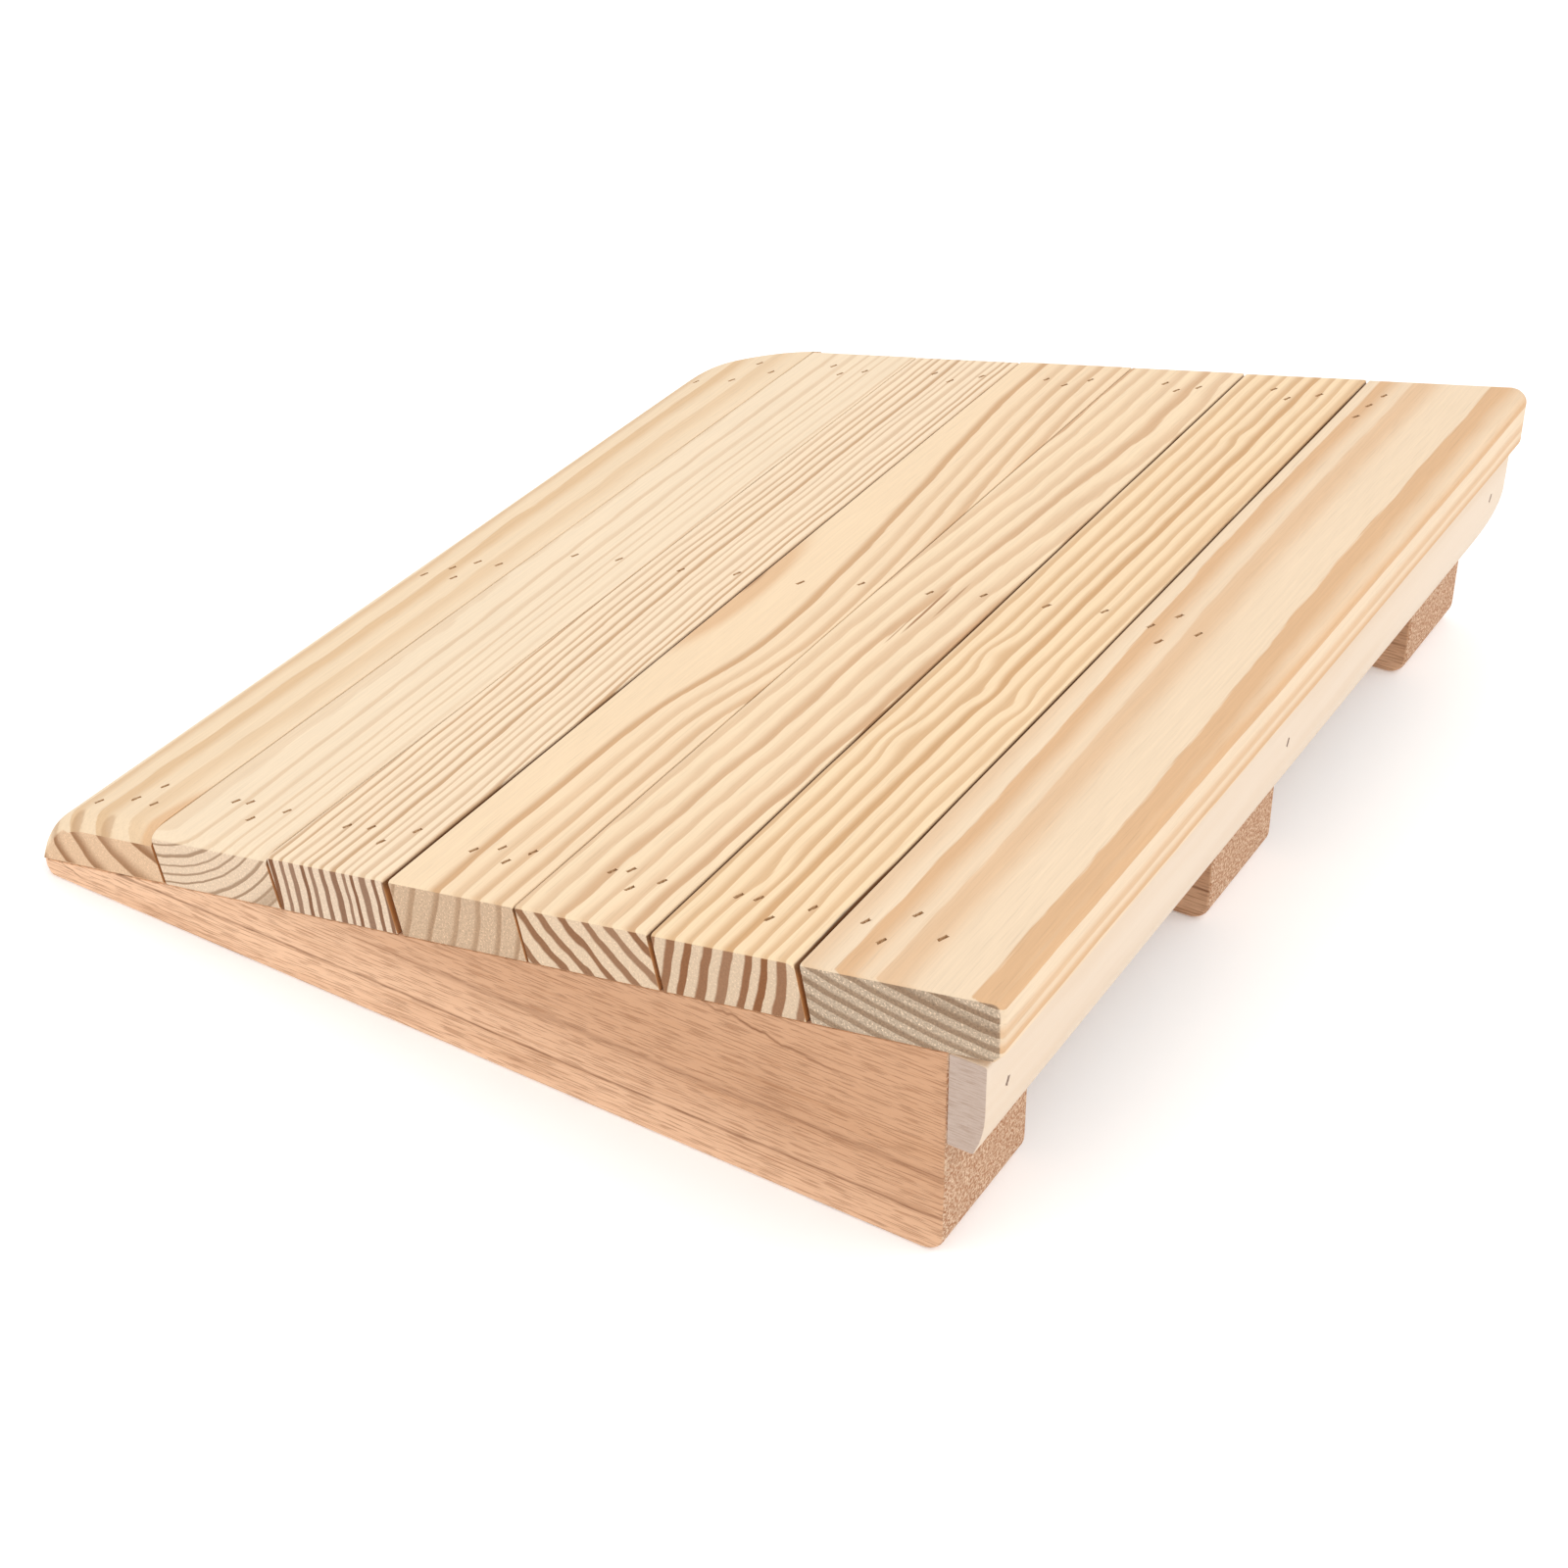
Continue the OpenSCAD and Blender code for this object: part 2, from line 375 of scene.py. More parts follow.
class Board:
    """One deck board, lofted between the edges of its CAD node."""

    top_parts, bottom_parts, side_parts = 8, 4, 2

    def __init__(self, number):
        self.number = number
        self.node = BOARDS[number - 1]
        self.left, self.right = board_edges(self.node)
        self.shapes = [SAWN, SANDED if number == 2 else SAWN]
        self.corner_radii = [0, 0]

    def edge(self, which, x):
        """The front (1) or back (2) edge at x, which wavers inwards by a hair."""
        t = (x - self.left[0]) / (self.right[0] - self.left[0])
        inward = 1 if which == 1 else -1
        wander = 0.12 * MM + waver(x, self.number * which, 70 * MM, 0.12 * MM)
        return lerp(self.left[which], self.right[which], t) + inward * wander

    def arris(self, x, seed):
        return ARRIS * (1 + waver(x, self.number + 11 * seed, 30 * MM, 0.4))

    def top(self, x):
        return deck.thick - 0.05 * MM - waver(x, self.number + 40, 90 * MM, 0.05 * MM)

    def back_top_arris(self, x):
        return self.arris(x, 3)

    def eased_arris(self, off_side):
        """Gives the radius that is left of an arris once the sides are taken in by off_side."""
        return lambda radius: max(radius - off_side, LEAST_ARRIS)

    def outline(self, x, off_bottom, off_top, off_side):
        """The board's section at x, as points (s, n), taken in by the given amounts."""
        front = self.edge(1, x) + off_side
        back = self.edge(2, x) - off_side
        low, high = off_bottom, self.top(x) - off_top
        ease = self.eased_arris(off_side)
        return rounded_ring(
            [(front, low), (back, low), (back, high), (front, high)],
            [ease(LOW_ARRIS), ease(LOW_ARRIS), ease(self.back_top_arris(x)), ease(self.arris(x, 4))],
            [self.bottom_parts, self.side_parts, self.top_parts, self.side_parts])

    def ring(self, station):
        x, eased, reach, inward, shape = station
        side = shape.off_side * eased
        seen_x = x + inward * reach * sum(shape.reach) / 2
        outline = self.outline(seen_x, shape.off[0] * eased, shape.off[1] * eased, side)
        made = []
        for s, n in outline:
            depth = lerp(shape.reach[0], shape.reach[1], min(max(n / deck.thick, 0), 1))
            made.append(deck.put(x + inward * depth * reach, s, n))
        return made

    def build(self):
        ends = (self.left[0], self.right[0])
        rings = [self.ring(s) for s in stations(ends, self.shapes, self.corner_radii)]
        piece = mesh_object("pine_" + self.node, *skin(rings))
        own = BRADS["brads_board_%d" % self.number]
        carve(piece, joined("pockets", [b.hole() for b in own]))
        smooth(piece)
        return piece


class NoseBoard(Board):
    """Board 1: its front is the deck's rounded edge, and both of its front corners are rounded in plan."""

    wall_parts, nose_parts = 4, 26
    sliver = 0.13 * MM  # what the left corner's curve leaves too thin to keep

    def __init__(self, number):
        super().__init__(number)
        self.corner_radii = [FRONT_CORNERS[X_LEFT], FRONT_CORNERS[X_RIGHT]]
        self.left = (X_LEFT + self.sliver, *self.left[1:])
        self.shapes = [CURVED_AWAY, ROUNDED_NOSE]

    def outline(self, x, off_bottom, off_top, off_side):
        high = self.top(x) - off_top
        radius = FRONT_R - off_top - (deck.thick - self.top(x))
        centre_n = high - radius
        centre_s = deck.plumb_s(deck.y_front + FRONT_R, centre_n)
        cut = corner_cut(x, FRONT_CORNERS) + off_side
        low = off_bottom
        bottom_turn = math.acos((low - centre_n) / radius)
        sheer = (cut - (FRONT_R - radius)) / radius
        if sheer < 1 - deck.sin:
            junction = (bottom_turn - (math.asin(1 - max(sheer, 0)) - deck.slope)) * radius
        else:
            junction = bottom_turn * radius + deck.plumb_s(deck.y_front + cut, high) - centre_s
        junction = max(junction, 1 * MM)

        def on_profile(travel):
            turn = bottom_turn - travel / radius
            if turn < 0:
                return Vector((centre_s + travel - bottom_turn * radius, high))
            return Vector((centre_s - radius * math.sin(turn), centre_n + radius * math.cos(turn)))

        back = self.edge(2, x) - off_side
        end = lerp(junction, bottom_turn * radius + back - centre_s, 0.8)
        meet = on_profile(junction)
        nose = []
        for k in range(self.wall_parts):
            n = lerp(low, meet.y, k / self.wall_parts)
            drop = math.sqrt(max(radius * radius - (n - centre_n) ** 2, 0))
            nose.append(Vector((max(centre_s - drop, deck.plumb_s(deck.y_front + cut, n)), n)))
        for k in range(self.nose_parts + 1):
            nose.append(on_profile(lerp(junction, end, (k / self.nose_parts) ** 1.25)))
        for _ in range(2):
            soft = [nose[k].lerp((nose[k - 1] + nose[k + 1]) / 2, 0.7)
                    for k in range(self.wall_parts - 2, self.wall_parts + 4)]
            nose[self.wall_parts - 2:self.wall_parts + 4] = soft
        ease = self.eased_arris(off_side)
        top_back = arc(Vector((back, high)), nose[-1], Vector((back, low)), ease(self.arris(x, 3)), 5)
        low_back = arc(Vector((back, low)), Vector((back, high)), nose[0], ease(LOW_ARRIS), 5)
        return (nose + between(nose[-1], top_back[0], 4) + top_back
                + between(top_back[-1], low_back[0], self.side_parts) + low_back
                + between(low_back[-1], nose[0], self.bottom_parts))


class BackBoard(Board):
    """Board 7: its back is upright, with larger arrises, and both of its back corners are rounded."""

    arris_top, arris_bottom = 2.6 * MM, 2.4 * MM

    def __init__(self, number):
        super().__init__(number)
        self.corner_radii = [BACK_CORNERS[X_LEFT], BACK_CORNERS[X_RIGHT]]

    def outline(self, x, off_bottom, off_top, off_side):
        front = self.edge(1, x) + off_side
        y = deck.y_back - corner_cut(x, BACK_CORNERS) - off_side
        low, high = off_bottom, self.top(x) - off_top
        ease = self.eased_arris(off_side)
        return rounded_ring(
            [(front, low), (deck.plumb_s(y, low), low), (deck.plumb_s(y, high), high), (front, high)],
            [ease(LOW_ARRIS), ease(self.arris_bottom), ease(self.arris_top), ease(self.arris(x, 4))],
            [self.bottom_parts, 3, self.top_parts, self.side_parts], planed=[1])


class WanedBoard(Board):
    """Board 6: near its right end the bark side of the log shows along the back edge."""

    wane_from, wane_size = 58 * MM, 1.7 * MM

    def back_top_arris(self, x):
        into = min(max((x - (self.right[0] - self.wane_from)) / (14 * MM), 0), 1)
        into *= into * (3 - 2 * into)
        return self.arris(x, 3) + into * self.wane_size * (1 + waver(x, 77, 9 * MM, 0.5))


BOARD_KINDS = {1: NoseBoard, 6: WanedBoard, 7: BackBoard}


# ------------------------------------------------------------------ ribs and rail

TOE_R = 2.5 * MM
HEEL_R = 7 * MM
RIB_END = EndShape(1.0 * MM, 1.0 * MM, 1.0 * MM, 1.0 * MM)
RIB_STATION_GAP = 1.5 * MM


def loft(name, low, high, end_shape, corner_radii, pitch, outline_at):
    """A piece between two places in x, over outlines of points (y, z) taken in towards its ends."""
    rings = []
    ends, shapes = (low.x, high.x), (end_shape, end_shape)
    for x, eased, reach, inward, shape in stations(ends, shapes, corner_radii, pitch):
        outline = outline_at(x, shape.off[0] * eased)
        rings.append([Vector((x + inward * shape.reach[0] * reach, y, z)) for y, z in outline])
    return mesh_object(name, *skin(rings))


def rib_outline(x, off):
    """A rib's section at x, as points (y, z): toe, floor, heel, back, and the slope under the boards."""
    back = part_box("rib_right")[1].y - off
    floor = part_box("rib_right")[0].z + off
    cut = corner_cut(x, FRONT_CORNERS) + off
    centre_z = deck.put(0, 0, deck.thick).z + FRONT_R * math.tan(deck.slope) - FRONT_R / deck.cos
    mouth = deck.under_z(deck.y_front + cut) - centre_z
    nose = FRONT_R - math.sqrt(FRONT_R ** 2 - mouth ** 2)
    front = deck.y_front + max(cut, nose + off)

    def top(y):
        return deck.under_z(y) - off * 0.3

    return rounded_ring(
        [(front, floor), (back, floor), (back, top(back)), (front, top(front))],
        [max(TOE_R - off, 0.3 * MM), HEEL_R - off, 0.3 * MM, 0.3 * MM],
        [24, 4, 24, 2], steps=8)


def make_rib(node):
    low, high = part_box(node)
    radius = FRONT_CORNERS[X_RIGHT] if node == "rib_right" else 0
    piece = loft("hardwood_" + node, low, high, RIB_END, (0, radius), RIB_STATION_GAP, rib_outline)
    inside = [b.hole() for brads in BRADS.values() for b in brads
              if low.x < b.head.x < high.x]
    carve(piece, joined("holes", inside))
    smooth(piece)
    return piece


RAIL_CURVE_H = 15 * MM
RAIL_TUCK = 3.2 * MM
RAIL_CORNER_R = 20 * MM
RAIL_END = EndShape(0.6 * MM, 0.6 * MM, 0.6 * MM, 0.6 * MM)


def rail_outline(x, off):
    """The rail's section at x, as points (y, z). Its outer face curves in towards the bottom."""
    low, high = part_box("back_rail")
    curve_r = (RAIL_CURVE_H ** 2 + RAIL_TUCK ** 2) / (2 * RAIL_TUCK)
    knee = low.z + RAIL_CURVE_H
    bottom = low.z + corner_cut(x, {low.x: RAIL_CORNER_R}) + off

    def outer(z):
        dip = max(knee - z, 0)
        return high.y - off - (curve_r - math.sqrt(curve_r ** 2 - dip ** 2))

    face = [Vector((outer(z), z)) for z in (lerp(bottom, high.z - off, k / 14) for k in range(15))]
    radius = max(0.8 * MM - off, 0.2 * MM)
    inner_low, inner_high = Vector((low.y + off, bottom)), Vector((low.y + off, high.z - off))
    return (arc(inner_high, face[-1], inner_low, radius, 4) + arc(inner_low, inner_high, face[0], radius, 4)
            + arc(face[0], inner_low, face[1], radius, 4) + face[2:-2]
            + arc(face[-1], face[-2], inner_high, radius, 4))


def make_rail():
    low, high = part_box("back_rail")
    piece = loft("pine_back_rail", low, high, RAIL_END, (RAIL_CORNER_R, 0), STATION_GAP, rail_outline)
    carve(piece, joined("pockets", [b.hole() for b in BRADS["rail_brads"]]))
    smooth(piece)
    return piece


# ------------------------------------------------------------------ shader helper


class Value:
    """A number or colour that varies over the surface: a node socket that takes + - * / with others."""

    def __init__(self, graph, socket):
        self.graph, self.socket = graph, socket

    def __add__(self, other):
        return self.graph.math("ADD", self, other)

    __radd__ = __add__

    def __sub__(self, other):
        return self.graph.math("SUBTRACT", self, other)

    def __rsub__(self, other):
        return self.graph.math("SUBTRACT", other, self)

    def __mul__(self, other):
        return self.graph.math("MULTIPLY", self, other)

    __rmul__ = __mul__

    def __truediv__(self, other):
        return self.graph.math("DIVIDE", self, other)


class Graph:
    """One material's node tree, written as arithmetic."""

    def __init__(self, name):
        self.material = bpy.data.materials.new(name)
        self.material.use_nodes = True
        self.tree = self.material.node_tree
        self.tree.nodes.clear()
        self.shader = self.tree.nodes.new("ShaderNodeBsdfPrincipled")
        output = self.tree.nodes.new("ShaderNodeOutputMaterial")
        self.tree.links.new(self.shader.outputs["BSDF"], output.inputs["Surface"])

    def node(self, kind, inputs, output=0, **settings):
        made = self.tree.nodes.new(kind)
        for key, value in settings.items():
            setattr(made, key, value)
        for key, value in inputs.items():
            self.feed(made.inputs[key], value)
        return Value(self, made.outputs[output])

    def feed(self, socket, value):
        if isinstance(value, Value):
            self.tree.links.new(value.socket, socket)
        else:
            socket.default_value = value

    def math(self, operation, *values, clamp=False):
        return self.node("ShaderNodeMath", dict(enumerate(values)), operation=operation, use_clamp=clamp)

    def vector(self, x, y, z):
        return self.node("ShaderNodeCombineXYZ", {0: x, 1: y, 2: z})

    def noise(self, x, y, z, detail=2.0, rough=0.5):
        """Smooth noise around 0, about from -0.5 to 0.5, with a unit of 1 in each coordinate."""
        made = self.node("ShaderNodeTexNoise", {"Vector": self.vector(x, y, z), "Scale": 1.0,
                                                "Detail": detail, "Roughness": rough})
        return made - 0.5

    def chance(self, value):
        """A random number from 0 to 1 for each whole number."""
        return self.node("ShaderNodeTexWhiteNoise", {"W": value}, noise_dimensions="1D")

    def ramp(self, value, low, high, to_low=0.0, to_high=1.0):
        """Eases from one number to another as value goes from low to high."""
        return self.node("ShaderNodeMapRange", {"Value": value, "From Min": low, "From Max": high,
                                                "To Min": to_low, "To Max": to_high},
                         interpolation_type="SMOOTHSTEP")

    def mix(self, share, a, b):
        made = self.tree.nodes.new("ShaderNodeMix")
        made.data_type = "RGBA"
        self.feed(made.inputs["Factor"], share)
        self.feed(made.inputs["A"], a)
        self.feed(made.inputs["B"], b)
        return Value(self, made.outputs["Result"])

    def shade(self, colour, amount):
        """A colour made lighter or darker by a factor that varies."""
        made = self.tree.nodes.new("ShaderNodeVectorMath")
        made.operation = "SCALE"
        self.feed(made.inputs[0], colour)
        self.feed(made.inputs["Scale"], amount)
        return Value(self, made.outputs["Vector"])

    def bell(self, value, centre, width):
        """1 at the centre, falling smoothly to 0 a few widths away."""
        off = (value - centre) / width
        return self.math("EXPONENT", off * off * -1.0)

    def hill(self, x, s, place, widths):
        """A bell in two directions at once."""
        u, v = (x - place[0]) / widths[0], (s - place[1]) / widths[1]
        return self.math("EXPONENT", (u * u + v * v) * -1.0)

    def deck_place(self):
        """x, s and n in millimetres, in the deck's coordinates."""
        turned = Matrix.Rotation(-deck.slope, 3, "X") @ deck.origin * -1000
        place = self.node("ShaderNodeTexCoord", {}, output="Object")
        place = self.node("ShaderNodeMapping", {"Vector": place, "Location": turned,
                                                "Rotation": (-deck.slope, 0, 0), "Scale": (1000,) * 3})
        return self.split(place)

    def place(self):
        """x, y and z in millimetres, in the model's own frame."""
        spot = self.node("ShaderNodeTexCoord", {}, output="Object")
        return self.split(self.node("ShaderNodeMapping", {"Vector": spot, "Scale": (1000,) * 3}))

    def split(self, vector):
        made = self.tree.nodes.new("ShaderNodeSeparateXYZ")
        self.feed(made.inputs[0], vector)
        return [Value(self, made.outputs[k]) for k in range(3)]

    def facing(self):
        """How squarely the surface faces along X, Y and Z, each from 0 to 1."""
        normal = self.node("ShaderNodeTexCoord", {}, output="Normal")
        return [self.math("ABSOLUTE", part) for part in self.split(normal)]

    def finish(self, colour, roughness, height, relief):
        """Feeds the shader. height is in millimetres."""
        self.feed(self.shader.inputs["Base Color"], colour)
        self.feed(self.shader.inputs["Roughness"], roughness)
        self.shader.inputs["Specular IOR Level"].default_value = 0.22
        bump = self.node("ShaderNodeBump", {"Height": height, "Distance": MM, "Strength": relief})
        self.feed(self.shader.inputs["Normal"], bump)
        return self.material


def srgb(r, g, b):
    """A colour given as it looks on screen, from 0 to 255, for a shader socket."""
    linear = [c / 255 / 12.92 if c <= 10 else ((c / 255 + 0.055) / 1.055) ** 2.4 for c in (r, g, b)]
    return (*linear, 1.0)


# Light that falls on each face of the model, against a plain white card.
TOP_LIGHT, END_LIGHT, BACK_LIGHT = 1.165, 1.08, 1.27
SHEEN = 0.022  # what the surface itself mirrors of the white room


def seen(r, g, b, light):
    """The colour of a surface that shows as (r, g, b) on screen, from 0 to 255, under this much light."""
    linear = [((c / 255 + 0.055) / 1.055) ** 2.4 - SHEEN for c in (r, g, b)]
    return (*(max(c, 0.0) / light for c in linear), 1.0)


def top_lit(r, g, b):
    return seen(r, g, b, TOP_LIGHT)


def end_lit(r, g, b):
    return seen(r, g, b, END_LIGHT)


def back_lit(r, g, b):
    return seen(r, g, b, BACK_LIGHT)


# ------------------------------------------------------------------ pine


class Pine:
    """What sets one board's wood apart. Places are millimetres in the deck's coordinates.

    pith is the tree's centre as (s, n), and pitch the growth rings' spacing; below 0, each ring's hard
    edge faces the pith. drift is a list of (from x, to x, rise), which carries the grain up the slope.
    bumps are short kinks as (x, s, x width, s width, rise), and marks are stains as
    (x, s, x width, s width, strength, colour). bands are (distance from the pith, width). The top has
    no rings nearer the pith than plain, and the ring numbered pale is left out of it."""

    def __init__(self, pitch, pith, early, late, end_early, end_late, phase=0.0, late_from=0.35,
                 end_from=0.55, wobble=0.5, uneven=0.5, fuzz=1.3, lines=0.08, drift=(),
                 bumps=(), marks=(), bands=(), end_soft=0.14, plain=0.0, pale=None):
        self.pitch, self.pith, self.phase = pitch, pith, phase
        self.early, self.late, self.late_from = early, late, late_from
        self.end_early, self.end_late, self.end_from = end_early, end_late, end_from
        self.wobble, self.uneven, self.fuzz, self.lines = wobble, uneven, fuzz, lines
        self.drift, self.bumps, self.marks, self.bands = drift, bumps, marks, bands
        self.end_soft, self.plain, self.pale = end_soft, plain, pale


TAN = top_lit(231, 186, 141)
UMBER = top_lit(176, 130, 92)
BARK = top_lit(126, 112, 98)

PINE = {
    1: Pine(12.5, (63, 31), top_lit(248, 222, 188), top_lit(233, 198, 157), end_lit(234, 198, 163),
            end_lit(158, 114, 80), late_from=0.3, end_from=0.4, wobble=1.0, phase=-0.03, uneven=0.3,
            drift=[(-150, 60, 3)], end_soft=0.5,
            marks=[(205, 57, 36, 5.5, 0.8, TAN), (194, 36, 4, 2.5, 0.35, UMBER),
                   (194, 22, 4, 2.5, 0.4, UMBER), (194, 9, 4, 2.5, 0.35, UMBER)]),
    2: Pine(3.6, (51, 65), top_lit(251, 228, 197), top_lit(236, 207, 173), end_lit(238, 212, 184),
            end_lit(170, 140, 113), late_from=0.6, end_from=0.66, wobble=0.8, uneven=1.1, lines=0.04,
            drift=[(-100, 190, 6)], bands=[(77, 2.4)]),
    3: Pine(4.1, (-28, 21), top_lit(255, 230, 198), top_lit(210, 172, 134), end_lit(238, 213, 187),
            end_lit(134, 93, 68), late_from=0.4, end_from=0.46, wobble=0.6, uneven=1.2,
            drift=[(-20, 190, 7)]),
    4: Pine(7.4, (29, 70), top_lit(252, 224, 188), top_lit(218, 176, 134), end_lit(222, 191, 160),
            end_lit(184, 150, 120), late_from=0.3, end_from=0.6, wobble=0.9, fuzz=2.2, end_soft=0.25,
            drift=[(-190, 30, 19), (30, 100, -11)], plain=140.0,
            marks=[(8, 154, 44, 10.5, 0.75, TAN), (0, 153.5, 11, 3.5, 0.6, UMBER)]),
    5: Pine(-6.8, (351, 90), top_lit(253, 226, 190), top_lit(219, 178, 138), end_lit(235, 208, 178),
            end_lit(146, 102, 72), late_from=0.2, end_from=0.5, wobble=0.9,
            drift=[(-150, 70, -11), (60, 190, -3)], bumps=[(-130, 247, 70, 12, 5), (196, 226, 400, 2, 0.8)],
            marks=[(6, 227.7, 16, 0.55, 0.9, UMBER), (-2, 232.5, 12, 0.5, 0.7, UMBER),
                   (20, 225.8, 10, 0.4, 0.6, UMBER)]),
    6: Pine(5.9, (132, 60), top_lit(254, 225, 186), top_lit(217, 173, 127), end_lit(228, 202, 173),
            end_lit(145, 96, 64), late_from=0.25, end_from=0.44, wobble=0.95, uneven=0.7,
            drift=[(-190, 190, -3)],
            bumps=[(28, 264, 9, 6, -3), (84, 262, 10, 6, -3), (57, 289, 7, 5, 2.4), (53, 275, 8, 5, 2.4),
                   (-140, 271, 7, 5, -2), (160, 268, 12, 5, 3)],
            marks=[(170, 297.5, 27, 1.4, 0.95, BARK)]),
    7: Pine(4.6, (423, 295), top_lit(247, 222, 191), top_lit(229, 187, 145), end_lit(219, 195, 169),
            end_lit(158, 130, 105), phase=0.52, late_from=0.05, end_from=0.42, wobble=0.3, uneven=0.35,
            fuzz=3.4, drift=[(-100, 150, 6)], bands=[(294.5, 2.0)], pale=63, end_soft=0.25),
}
BOARD_SLOTS = ["pine_honey", "pine_pale", "pine_fine_lined", "pine_wavy", "pine_broad_lined",
               "pine_kinked", "pine_broad_banded"]


def pith_distance(g, wood, number, x, s, n):
    """How far a point lies from the pith, with the grain's own wander."""
    across = s
    for x_from, x_to, rise in wood.drift:
        across = across - g.ramp(x, x_from, x_to, 0.0, rise)
    for at_x, at_s, wide_x, wide_s, rise in wood.bumps:
        across = across - g.hill(x, s, (at_x, at_s), (wide_x, wide_s)) * rise
    slow = g.noise(x / 70 + 3.7 * number, s / 26, n / 30)
    quick = g.noise(x / 22, s / 9 + 5.1 * number, n / 9)
    u = across - wood.pith[0] + (slow * 4 + quick * 2) * wood.wobble
    v = n - wood.pith[1] + (slow + quick * 2) * wood.wobble
    return g.math("SQRT", u * u + v * v)


def joint_and_pocket(g, number, x, s, n):
    """Where a board's surface is a side in a joint, which gets painted shade, and where it is the torn wall
    of a brad's pocket.
    """
    left, right = board_edges(BOARDS[number - 1])
    front, back = max(left[1], right[1]) / MM, min(left[2], right[2]) / MM
    in_from_side, nose_end, back_face = 1.8, 12.0, 8.0
    front = front + in_from_side if number > 1 else nose_end
    back = back - (in_from_side if number < len(BOARDS) else back_face)
    normal = g.split(g.node("ShaderNodeTexCoord", {}, output="Normal"))
    up = normal[2] * deck.cos - normal[1] * deck.sin
    along = g.math("ABSOLUTE", normal[1] * deck.cos + normal[2] * deck.sin)
    inside = g.ramp(s, front - 0.3, front) * g.ramp(s, back, back + 0.3, 1.0, 0.0)
    side = g.ramp(along, 0.6, 0.85)
    if number == 1:
        side = side * g.ramp(s, 20.0, 25.0)
    if number == len(BOARDS):
        side = side * g.ramp(s, back - 5, back, 1.0, 0.0)
    thick = deck.thick / MM
    sunk = g.ramp(n, thick - 0.3, thick - 0.12, 1.0, 0.0) * g.ramp(n, thick - 3.0, thick - 2.6)
    side = side * g.ramp(n, thick - 1.3, thick - 0.6, 1.0, 0.0)
    in_from_ends = 188.0
    within = g.ramp(g.math("ABSOLUTE", x), in_from_ends, in_from_ends + 0.5, 1.0, 0.0)
    wall = g.ramp(up, 0.6, 0.85, 1.0, 0.0) * g.math("MULTIPLY", sunk, inside) * within
    return side, wall


def pine_top(g, wood, number, place, rings, distance):
    """The colour of a board's long faces."""
    x, s, n = place
    fibre = g.noise(x / 30, s * 1.1, n * 1.1, detail=3.0, rough=0.7)
    rings = rings + fibre * 0.14
    phase = g.math("FRACT", rings)
    late = g.ramp(phase, wood.late_from, 0.8) * g.ramp(phase, 0.92, 1.0, 1.0, 0.0)
    strength = 0.5 + 0.7 * g.chance(g.math("FLOOR", rings))
    fine = g.ramp(g.noise(x / 16, s * 2.2, n * 2.2, detail=1.0), 0.08, 0.24)
    patches = g.noise(x / 90, s / 22, n / 22 + number)
    strength = strength * g.ramp(distance, wood.plain - 1, wood.plain + 4)
    if wood.pale:
        strength = strength * (1 - g.bell(g.math("FLOOR", rings), float(wood.pale), 0.4))
    top = g.mix(g.math("MULTIPLY", late, strength, clamp=True), wood.early, wood.late)
    for far, width in wood.bands:
        top = g.mix(g.bell(distance, far, width) * 0.5, top, wood.late)
    for at_x, at_s, wide_x, wide_s, strong, colour in wood.marks:
        spot = g.ramp(g.hill(x, s + fibre * 1.5, (at_x, at_s), (wide_x, wide_s)), 0.22, 0.6)
        top = g.mix(spot * strong, top, colour)
    return g.shade(top, 1.0 + fibre * 0.25 - fine * wood.lines + patches * 0.06), fibre, late


def pine_end(g, wood, place, rings, distance):
    """The colour of a board's sawn ends."""
    x, s, n = place
    phase = g.math("FRACT", rings)
    late = g.ramp(phase, wood.end_from, wood.end_from + wood.end_soft) * g.ramp(phase, 0.94, 1.0, 1.0, 0.0)
    strength = 0.8 + 0.2 * g.chance(g.math("FLOOR", rings) + 31.0)
    saw = g.noise(x * 1.5, s * 1.3, n * 1.3, detail=3.0, rough=0.75)
    specks = g.ramp(g.noise(x, s * 1.7 + 7.0, n * 1.7, detail=1.0), 0.08, 0.2)
    end = g.mix(late * strength, wood.end_early, wood.end_late)
    for far, width in wood.bands:
        end = g.mix(g.bell(distance, far, width) * 0.6, end, wood.end_late)
    shade = 1.0 + saw * 0.42 * wood.fuzz + (specks - 0.25) * 0.16 * wood.fuzz * (1.2 - late)
    torn = g.ramp(saw, 0.04, 0.12) * g.ramp(n, 0.3, 1.5, 1.0, 0.0)
    shade = shade * (1 - torn * min(wood.fuzz * 0.2, 0.6))
    return g.shade(end, shade), saw


def pine_material(number):
    wood = PINE[number]
    g = Graph(BOARD_SLOTS[number - 1])
    x, s, n = place = g.deck_place()
    distance = pith_distance(g, wood, number, x, s, n)
    rings = distance / wood.pitch + wood.phase
    spread = g.noise(rings / 3 + 1.3 * number, 0.0, 0.0, detail=1.0)
    rings = rings + spread * wood.uneven * 1.6
    top, fibre, late = pine_top(g, wood, number, place, rings, distance)
    end, saw = pine_end(g, wood, place, rings, distance)
    side, wall = joint_and_pocket(g, number, x, s, n)
    across_x = g.ramp(g.facing()[0], 0.8, 0.93)
    colour = g.mix(across_x, top, end)
    # Painted shade: the board sides inside the joints are painted dark brown, darkest near the top edge, for
    # the shade in the gaps.
    joint_shade_colour = g.mix(g.ramp(n, 14.0, 18.0), top_lit(196, 132, 80), top_lit(122, 80, 50))
    colour = g.mix(side * 0.9, colour, joint_shade_colour)
    torn = g.mix(g.ramp(saw, -0.1, 0.2), top_lit(190, 142, 98), top_lit(240, 202, 158))
    colour = g.mix(wall * 0.9, colour, torn)
    roughness = 0.56 + fibre * 0.12 + across_x * 0.25
    height = late * 0.05 + fibre * 0.10 + across_x * saw * 0.25 * (0.5 + wood.fuzz)
    return g.finish(colour, roughness, height, 0.7)


